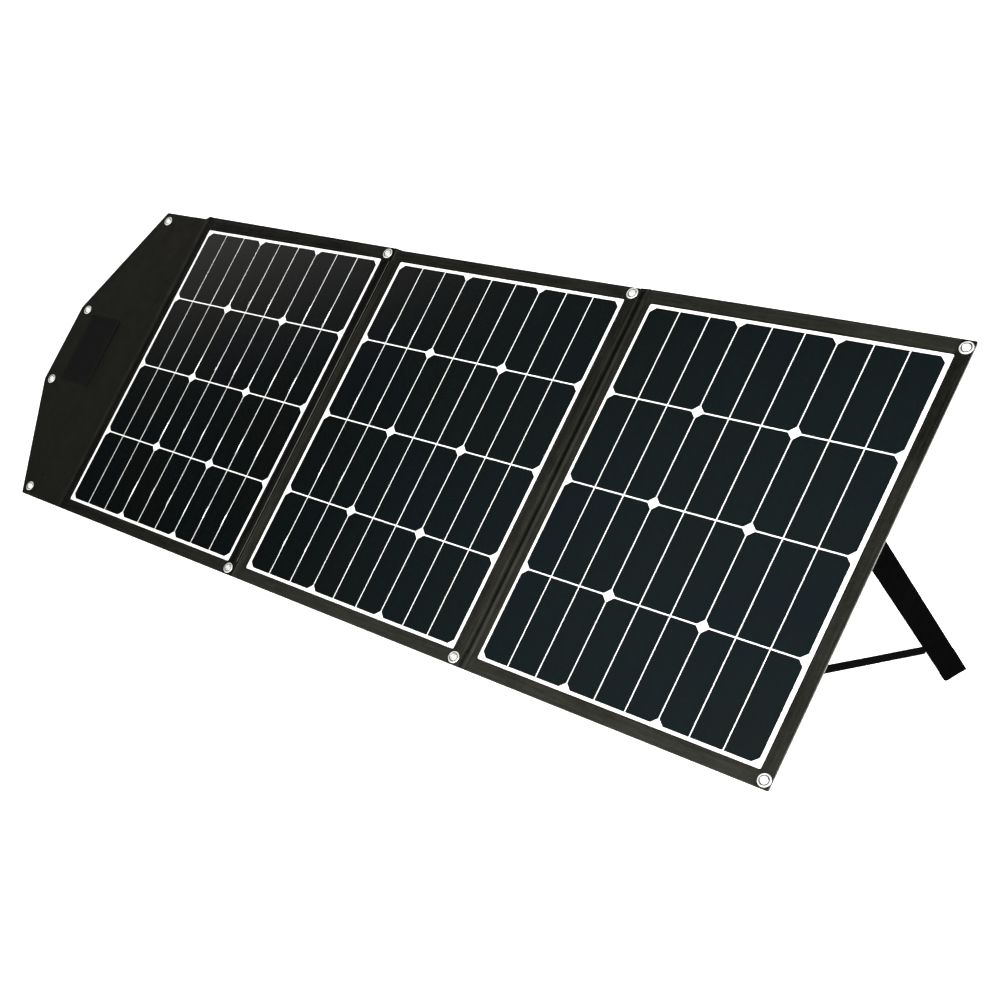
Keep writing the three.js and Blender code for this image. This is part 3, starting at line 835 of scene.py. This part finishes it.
def flap_skin(name, node, outer_z, inner_z, seed):
    """One fabric side of the flap: a rolled and sewn edge round a softly rippled middle."""
    low, high = span("flap_front_cover")
    outline = Outline([(low[0], -FLAP_TIP_Y), (FLAP_SHOULDER_X, low[1]), (high[0], low[1]),
                       (high[0], high[1]), (FLAP_SHOULDER_X, high[1]), (low[0], FLAP_TIP_Y)],
                      4.0, 4.5, 2.0, 40.0, 4)
    side = 1 if outer_z > inner_z else -1
    profile = [(d, inner_z) for d in (34, 30, 26, 23, 20, 18, 16, 14, 12, 10, 8, 6, 4, 2.5, 1.0)]
    profile += [(0.25, inner_z + 0.12 * side), (0, (outer_z + inner_z) / 2)]
    profile += [(d, outer_z + z * side) for d, z in (
        (0.3, -0.12), (0.9, 0.1), (2.2, 0.22), (3.4, 0.12), (4.0, -0.12), (4.6, 0.08))]
    profile += [(d, outer_z) for d in (6, 8, 10, 12, 14, 16, 18, 20, 23, 26, 30, 35, 41, 48, 56,
                                       65, 73)]
    plain = high[0] - 7  # no hem past this, beside the spine

    def height(x, y, d, z):
        if abs(z - outer_z) > 0.35 or d < 0.8:
            return 0
        ripple = 0.55 * wander(x, y * 0.45, 60, seed) + 0.12 * wander(x, y, 18, seed + 3)
        return ripple * smooth(2, 30, d) + (outer_z - z) * smooth(plain - 4, plain, x)

    places = [place for n, place in EYELETS.items() if "flap" in n]
    piece(name, *pierce(*loft(outline, profile, height), places), FLAP, "flap", [node])
    seam = [(x, y, outer_z - 0.1 * side) for x, y in outline.at(4.0) if x < plain]
    piece(f"{name}_stitching", *sewn([seam], (0, 0, side)), THREAD, "flap")


def patch(name, node, look, body, side=-1, crown=0.15):
    """A sewn patch of tape: rounded edges, a box of stitches."""
    low, high = span(node)
    top, base = (high[2], low[2]) if side > 0 else (low[2], high[2])
    outline = Outline(rectangle(*low[:2], *high[:2]), 3.0, 5.0)
    inside = min(high[0] - low[0], high[1] - low[1]) / 2
    seam_in = 3.0
    profile = [(1.2, base), (0.1, base), (0, (base + top) / 2)]
    profile += [(d, top + z * side) for d, z in (
        (0.3, -0.15), (0.8, 0), (seam_in - 0.6, 0), (seam_in, -0.2), (seam_in + 0.6, 0),
        (inside * 0.5, crown), (inside * 0.85, crown))]
    piece(name, *loft(outline, profile), look, body, [node])
    seam = [(x, y, top - 0.35 * side) for x, y in outline.at(seam_in)]
    piece(f"{name}_stitching", *stitches(seam, (0, 0, side), closed=True), THREAD, body)


def closing_flap():
    edge = span("front_cover_1")[0][0]
    low, high = span("flap_spine")
    front, back = high[2], low[2]
    middle = (low[0] + high[0]) / 2

    def inner_back(x):
        if x > edge + 0.4:
            return flap_cloth_front(x) - 0.5
        return back + (BACK_Z + 0.4 - back) * smooth(high[0], edge, x)

    def inner_lift(x):
        return lift_edge(1)(max(x, edge), HALF_HEIGHT) * smooth(high[0] - 1, edge + 1, x)

    crease("crease_cloth_inner", "crease_strip_inner", "panel_1", "spine",
           (middle, FLAP_CLOTH_EDGE), flap_cloth_front, inner_back, inner_lift)
    crease("crease_cloth_outer", "crease_strip_outer", "spine", "flap",
           (span("crease_strip_outer")[0][0] - 1.8, middle), lambda x: front + 0.04,
           lambda x: back - 0.04, lambda x: 0.0)
    # the stiff strip inside the spine, under its cloth
    outline = Outline(rectangle(low[0] + 0.2, low[1] + 1, high[0] - 0.2, high[1] - 1), 1.0, 8.0)
    profile = [(1.5, front - 0.25), (0.3, front - 0.4), (0, MID_Z), (0.3, back + 0.4),
               (1.5, back + 0.25)]
    piece("spine_core", *loft(outline, profile), BOARD, "spine", ["flap_spine"])
    flap_skin("flap_front", "flap_front_cover", front, front - 0.6, 11)
    flap_skin("flap_back", "flap_back_cover", back, back + 0.6, 17)
    keep_node("flap_board", BOARD)
    patch("flap_hook_tape", "flap_hook_patch", PILE, "flap", side=1)
    for node in EYELETS:
        if "flap" in node:
            make_eyelet(node, "flap")


# ---------- carry handle ----------
def curve_through(points, per_span=8):
    """A Catmull-Rom line through the points."""
    p = np.asarray(points, float)
    p = np.vstack([2 * p[0] - p[1], p, 2 * p[-1] - p[-2]])
    found = []
    for p0, p1, p2, p3 in zip(p, p[1:], p[2:], p[3:]):
        for t in np.linspace(0, 1, per_span, endpoint=False):
            found.append(0.5 * (2 * p1 + (p2 - p0) * t + (2 * p0 - 5 * p1 + 4 * p2 - p3) * t * t
                                + (-p0 + 3 * p1 - 3 * p2 + p3) * t ** 3))
    return np.array([*found, p[-2]])


BAND_AROUND = 14


def band(line, across, width, thick, corner=0.4, swell=lambda share: 1.0):
    """A flat band with soft edges along a line. across is the direction of its width."""
    across = np.array(across, float)
    rings = []
    for i, (point, run) in enumerate(zip(line, np.gradient(line, axis=0))):
        up = np.cross(across, run / np.linalg.norm(run))
        scale = swell(i / (len(line) - 1))
        w, t = width / 2 * scale, thick / 2 * scale
        c = min(corner, t * 0.9)
        under = [(-w, -t + c), (-w + c, -t), (-w * 0.5, -t), (0, -t), (w * 0.5, -t), (w - c, -t),
                 (w, -t + c)]
        section = under + [(-a, -b) for a, b in under]
        rings.append([point + across * a + up * b for a, b in section])
    return sweep(rings)


def dense(corners, count):
    """Points along a line through the corners, without its last one."""
    return [p for a, b in zip(corners, corners[1:])
            for p in np.linspace(a, b, count, endpoint=False)]


def handle():
    low, high = span("handle_webbing")
    x, half = (low[0] + high[0]) / 2, high[1]
    thick = 1.9
    tab_z, top_z = high[2] - 1.0, low[2] + 1.0
    box_end = 76  # the sewn tabs' inner end
    rise = [(half, 0), (88, 0), (box_end, 0), (69, 0.12), (62, 0.82), (54, 1.0), (30, 1.0),
            (10, 1.0)]
    side = [(x, y, tab_z + (top_z - tab_z) * h) for y, h in rise]
    line = curve_through([*side, *[(x, -y, z) for x, y, z in reversed(side)]])
    points, faces = band(line, (1, 0, 0), high[0] - low[0], thick)
    piece("handle_strap", points, faces, WEBBING, "spine", ["handle_webbing"],
          cloth=[(p[0], i // BAND_AROUND * 2.2, 0) for i, p in enumerate(points)])
    seams = []
    for sign in (-1, 1):
        box = [(x + dx, sign * y, tab_z - thick / 2)
               for dx, y in rectangle(-10, box_end, 10, half - 2)]
        around = dense([*box, box[0]], 8)
        seams.append(stitches(around, (0, 0, -1), closed=True, pitch=3.0))
        for a, b in ((box[0], box[2]), (box[1], box[3])):
            seams.append(stitches(np.linspace(a, b, 8), (0, 0, -1), pitch=3.0))
    piece("handle_stitching", *merge(*seams), THREAD, "spine")

    low, high = span("handle_grip")
    line = [(x, y, (low[2] + high[2]) / 2) for y in np.linspace(low[1], high[1], 27)]
    points, faces = band(line, (1, 0, 0), high[0] - low[0], high[2] - low[2], 3.4,
                         lambda share: 0.78 + 0.22 * max(0, math.sin(math.pi * share)) ** 0.25)
    piece("handle_grip_sleeve", points, faces, COVER, "spine", ["handle_grip"])
    seam = [(x, y, low[2] + 0.35) for _, y, _ in line[2:-2]]
    piece("grip_stitching", *stitches(seam, (0, 0, -1)), THREAD, "spine")


# ---------- legs ----------
SPLAY = math.radians(12)
DROOP = math.radians(4.3)
LEG_Y, LEG_WIDTH, LEG_THICK = 16.0, 36.0, 4.4
LEG_START, CAP_AT, CAP_REACH = 5.0, 266.0, 345.0
SEAM_IN = 6.0
SEAM_Z = BACK_Z - 3.6
HINGE_ROOT = -1.6
STRAP_Y, STRAP_WIDTH, STRAP_END = -129.0, 10.0, 202.0


def leg_line(r, side, inset=0.0):
    """Y of the leg's upper (side 1) or lower (-1) edge at distance r from the seam."""
    return LEG_Y + side * (LEG_WIDTH / 2 - inset) / math.cos(DROOP) - r * math.tan(DROOP)


def bar(r0, r1, grow=0.0):
    return [(r, leg_line(r, side, -grow)) for r, side in ((r0, -1), (r1, -1), (r1, 1), (r0, 1))]


def both_sides(profile):
    """A section's upper half, as (inset, z), and its mirror image below."""
    return profile + [(d, -z) for d, z in reversed(profile)]


def leg(k):
    """The leg lies in a plane: x runs out from the seam, y along it and z through the leg."""
    low, high = span(f"front_cover_{k}")
    inward = 1 if k == 1 else -1
    seam = low[0] + SEAM_IN if k == 1 else high[0] - SEAM_IN
    turn = np.array(Matrix.Rotation(math.pi / 2 + inward * SPLAY, 3, "Y"))
    body = f"leg_{k}"

    def to_panel(points):
        return np.asarray(points, float).reshape(-1, 3) @ turn.T + np.array([seam, 0, SEAM_Z])

    def to_row(points):
        return row_frame(to_panel(points))

    def height(x, y, d, z):
        return (0.12 * wander(x, y, 26, k) + 0.05 * wander(x, y, 8, k)) * (1 if z > 0 else -1)

    half = LEG_THICK / 2
    profile = both_sides([
        (9, half - 0.1), (5.5, half), (4.2, half - 0.05), (3.6, half - 0.3), (3.0, half - 0.05),
        (1.6, half - 0.1), (0.6, half - 0.6), (0, half - 1.5)])
    sleeve = Outline(bar(LEG_START, CAP_AT + 1), 1.5, 6.0)
    piece(f"leg_{k}_sleeve", *loft(sleeve, profile, height), LEG_CLOTH, body,
          [f"leg_sleeve_{k}"], to_row=to_row)
    seams = [stitches([(x, y, side * (half - 0.45)) for x, y in sleeve.at(3.6)], (0, 0, side), True)
             for side in (1, -1)]
    piece(f"leg_{k}_stitching", *merge(*seams), WEBBING, body, to_row=to_row)
    keep_node(f"leg_batten_{k}", BOARD)

    thick = half + 0.15
    profile = both_sides([
        (12, thick - 0.25), (4, thick), (2, thick - 0.05), (0.8, thick - 0.4), (0, thick - 1.3)])
    cap = Outline(bar(CAP_AT - 3, CAP_REACH, 0.5), 2.0, 6.0)
    piece(f"leg_{k}_foot", *loft(cap, profile), RUBBER, body, [f"leg_foot_cap_{k}"],
          to_row=to_row, on_floor=True)

    start, end = np.array([(1.5, STRAP_Y, 0), (STRAP_END, leg_line(STRAP_END, -1) + 1.0, 0)])
    length = math.dist(start, end)
    side = np.cross((0, 0, 1), end - start) / length
    steps = np.linspace(0, 1, 40)
    line = [start + (end - start) * s + (0, 0, 0.25 * math.sin(math.pi * s)) for s in steps]
    points, faces = band(line, side, STRAP_WIDTH, 1.1, 0.35)
    cloth = [((p - line[0]) @ side, steps[i // BAND_AROUND] * length, 0)
             for i, p in enumerate(points)]
    piece(f"leg_{k}_strap", points, faces, WEBBING, body, [f"leg_strap_{k}"], cloth=cloth,
          to_row=to_row)

    # the cloth hinge from the tape on the panel's back to the sleeve's end
    rings = []
    for r in np.linspace(HINGE_ROOT, HINGE_ROOT + LEG_START + 3.4, 9):
        y0, y1 = (leg_line(max(r, 0), side, 1.5) for side in (-1, 1))
        rings.append(to_panel([(r, y, 0.75) for y in np.linspace(y0, y1, 9)]
                              + [(r, y, -0.75) for y in np.linspace(y1, y0, 9)]))
    start, end = to_panel([(HINGE_ROOT, 0, 0), (LEG_START + 1.8, 0, 0)])
    piece(f"leg_{k}_hinge_cloth", *sweep(rings), LEG_CLOTH, (f"panel_{k}", body, start, end))

    for name, look in (("leg_hinge_tape", WEBBING), ("strap_anchor", WEBBING),
                       ("leg_keeper_pad", PILE)):
        patch(f"{name}_{k}_sewn", f"{name}_{k}", look, f"panel_{k}", crown=0.05)


# ---------- pocket and junction box ----------
def pocket():
    """A flat bag that closes to its sewn lower edge, open at the top."""
    low, high = span("pocket_pouch")
    wall, depth = 1.5, high[2] - low[2]
    middle_x = (low[0] + high[0]) / 2
    corner = 7.0

    def section(grow, bulge):
        """Down one side, over the front and up the other; grow scales the depth."""
        front = high[2] - depth * grow
        r = min(corner, depth * grow * 0.45)
        arc = [(r * (1 - math.cos(a)), front + r * (1 - math.sin(a)))
               for a in np.linspace(0, math.pi / 2, 5)]
        path = [(low[0] - 6 * (1 - grow), high[2]), *((low[0] + x, z) for x, z in arc)]
        path += [(low[0] + (high[0] - low[0]) * s, front - bulge * math.sin(math.pi * s))
                 for s in np.linspace(0.1, 0.9, 11)]
        path += [(high[0] - x, z) for x, z in reversed(arc)]
        return [*path, (high[0] + 6 * (1 - grow), high[2])]

    rings = []
    for y in (*np.linspace(low[1], low[1] + 16, 9), *np.linspace(low[1] + 20, high[1], 28)):
        grow = 0.06 + 0.94 * smooth(low[1] - 3, low[1] + 15, y) ** 0.6
        along = min(1, (y - low[1]) / (high[1] - low[1]))
        outer = section(grow, 0.4 * math.sin(math.pi * along))
        outer[2:-2] = [(x, z + 0.25 * wander(x, y, 24, 41)) for x, z in outer[2:-2]]
        inner = []
        for x, z in reversed(outer):
            dx = wall * np.sign(middle_x - x) * min(1, abs(x - middle_x) / 30)
            inner.append((x + dx, min(high[2], z + min(wall, (high[2] - z) * 0.5))))
        rings.append([(x, y, z) for x, z in outer + inner])
    piece("pocket_bag", *sweep(rings), COVER, "panel_2", ["pocket_pouch"])
    seams = []
    for inset in (3.0, 6.5):
        line = []
        for x in np.linspace(low[0] + corner, high[0] - corner, 60):
            bulge = 0.3 * math.sin(math.pi * (x - low[0]) / (high[0] - low[0]))
            line.append((x, high[1] - inset, low[2] - bulge + 0.05))
        seams.append(stitches(line, (0, 0, -1)))
    piece("pocket_stitching", *merge(*seams), THREAD, "panel_2")

    # sewn flange round the bag
    section = [(d, high[2] + z) for d, z in ((1, 0.2), (0, 0.2), (0.2, -0.5), (0.8, -0.7),
                                             (2.6, -0.75))]
    flange = [loft(Outline(rectangle(x0, low[1] - out, x1, y1), 1.5, 6.0), section)
              for x0, x1, out, y1 in ((low[0] - 7, low[0] + 1, 6, high[1]),
                                      (high[0] - 1, high[0] + 7, 6, high[1]),
                                      (low[0] - 7, high[0] + 7, 7, low[1] + 1))]
    piece("pocket_flange", *merge(*flange), COVER, "panel_2")
    z = high[2] - 0.75
    left, right, bottom, top = low[0] - 3.5, high[0] + 3.5, low[1] - 3.5, high[1] - 2
    line = dense([(left, top, z), (left, bottom, z), (right, bottom, z), (right, top, z)], 40)
    piece("pocket_flange_stitching", *stitches(line, (0, 0, -1)), THREAD, "panel_2")


def pocket_flap():
    low, high = span("pocket_lid")
    far, near = low[2], high[2]
    turn = 6.0
    root = high[1] - 0.7
    path = [(root, near - 0.2), (root, near - 4), (root, far + turn + 4)]
    for a in np.linspace(0.15, math.pi / 2, 6):
        path.append((root - turn * (1 - math.cos(a)), far + 0.7 + turn * (1 - math.sin(a))))
    path += [(y, far + 0.7) for y in np.linspace(high[1] - 14, low[1], 9)]
    line = np.array(path)
    runs = np.gradient(line, axis=0)
    normal = np.stack([runs[:, 1], -runs[:, 0]], 1)
    normal /= np.linalg.norm(normal, axis=1)[:, None]
    rings = []
    for x in np.linspace(low[0], high[0], 50):
        half = 0.55 + 0.25 * (1 - smooth(0, 2.5, min(x - low[0], high[0] - x)))
        ripple = np.array([0.15 * wander(x, y + z, 30, 51) for y, z in line])[:, None]
        outer, inner = line + normal * (ripple - half), line + normal * (ripple + half)
        rings.append([(x, y, min(z, near)) for y, z in (*outer, *inner[::-1])])
    piece("pocket_flap", *sweep(rings), COVER, "pocket_lid", ["pocket_lid"])
    left, right, tip = low[0] + 4, high[0] - 4, low[1] + 4
    side = np.linspace(tip, high[1] - 10, 24)
    seam = [*((left, y) for y in reversed(side)),
            *((x, tip) for x in np.linspace(left, right, 60)), *((right, y) for y in side)]
    seam = [(x, y, far + 0.12) for x, y in seam]
    piece("pocket_flap_stitching", *stitches(seam, (0, 0, -1)), THREAD, "pocket_lid")


def junction_box():
    for node in ("junction_box_base", "junction_box_lid", "cable_gland_body", "cable_gland_nut"):
        keep_node(node, BOX)
    low, high = span("junction_box_lid")
    head = ((2.4, 0.1), (2.4, -0.5), (2.0, -0.8), (0.9, -0.8), (0.9, -0.2))
    screws = [sweep([circle(x, y, r, low[2] + z, 18) for r, z in head])
              for x in (low[0] + 5, high[0] - 5) for y in (low[1] + 5, high[1] - 5)]
    piece("junction_box_screws", *merge(*screws), NICKEL, "panel_2")


# ---------- stage ----------
def soft_light(name, place, target, size, power):
    data = bpy.data.lights.new(name, "AREA")
    data.shape, data.size, data.energy = "DISK", size, power
    lamp = bpy.data.objects.new(name, data)
    lamp.location = place
    lamp.rotation_euler = (Vector(target) - Vector(place)).to_track_quat("-Z", "Y").to_euler()
    bpy.context.collection.objects.link(lamp)


def sky():
    """White near the horizon and dark above it, so that the cells mirror the dark part, with a wide
    warm glow behind the closing flap's end and a dim cool one in front."""
    world = bpy.data.worlds.new("studio")
    bpy.context.scene.world = world
    world.use_nodes = True
    tree = world.node_tree
    place = new_node(tree, "TexCoord", {}, "Generated")
    total = (0.008, 0.008, 0.008)
    for direction, low, high, color in (
        ((0, 0, -1), -0.36, -0.24, (1.0, 1.0, 1.0)),
        ((-0.71, 0.373, 0.597), 0.75, 1.0, (2.5, 2.35, 2.2)),
        ((-0.286, -0.616, 0.734), 0.878, 1.0, (0.19, 0.30, 0.33)),
    ):
        toward = new_node(tree, "VectorMath", {0: place, 1: direction}, "Value",
                          operation="DOT_PRODUCT")
        share = new_node(tree, "MapRange", {"Value": toward, "From Min": low, "From Max": high},
                         "Result", interpolation_type="SMOOTHSTEP")
        total = new_node(tree, "VectorMath", {0: share, 1: color, 2: total}, "Vector",
                         operation="MULTIPLY_ADD")
    tree.links.new(total, tree.nodes["Background"].inputs["Color"])


def studio():
    sky()
    soft_light("key", (2.5, -1.4, 1.1), (0.1, 0.0, 0.2), 0.5, 150)
    soft_light("fill", (0.3, -2.6, 1.4), (0.0, 0.0, 0.2), 0.9, 60)

    look = Look("floor", (0.92, 0.92, 0.92), 0.9, 0.05)
    look.inputs["Emission Color"].default_value = (1, 1, 1, 1)
    look.inputs["Emission Strength"].default_value = 0.95
    # a floor that curves up into a backdrop far behind the part
    depths = [(-40, 0), (6, 0), (8, 0.15), (9.6, 0.7), (10.8, 1.8), (11.2, 3.5), (11.2, 12)]
    points = [(x, y, z - 0.0005) for y, z in depths for x in (-40, 40)]
    faces = [(2 * i, 2 * i + 1, 2 * i + 3, 2 * i + 2) for i in range(len(depths) - 1)]
    mesh = bpy.data.meshes.new("floor")
    mesh.from_pydata(points, [], faces)
    for face in mesh.polygons:
        face.use_smooth = True
    floor = bpy.data.objects.new("floor", mesh)
    bpy.context.collection.objects.link(floor)
    mesh.materials.append(look.material)


def camera():
    data = bpy.data.cameras.new("camera")
    data.sensor_width, data.lens = 36, 43.86
    data.shift_x, data.shift_y = 0.10, 0.20
    data.clip_end = 100
    eye = bpy.data.objects.new("camera", data)
    eye.location = (1.117, -1.3, 0.7425)
    eye.rotation_euler = [math.radians(a) for a in (60.036, -0.244, 40.865)]
    bpy.context.collection.objects.link(eye)
    bpy.context.scene.camera = eye
    bpy.context.scene.view_settings.view_transform = "Standard"


# ---------- assembly ----------
camera()
studio()
for number in (1, 2, 3):
    panel(number)
panel_hinge(1, 2)
panel_hinge(2, 3)
closing_flap()
handle()
for number in (1, 3):
    leg(number)
pocket()
pocket_flap()
junction_box()
patch("closing_tape", "closing_loop_pad", PILE, "panel_2")
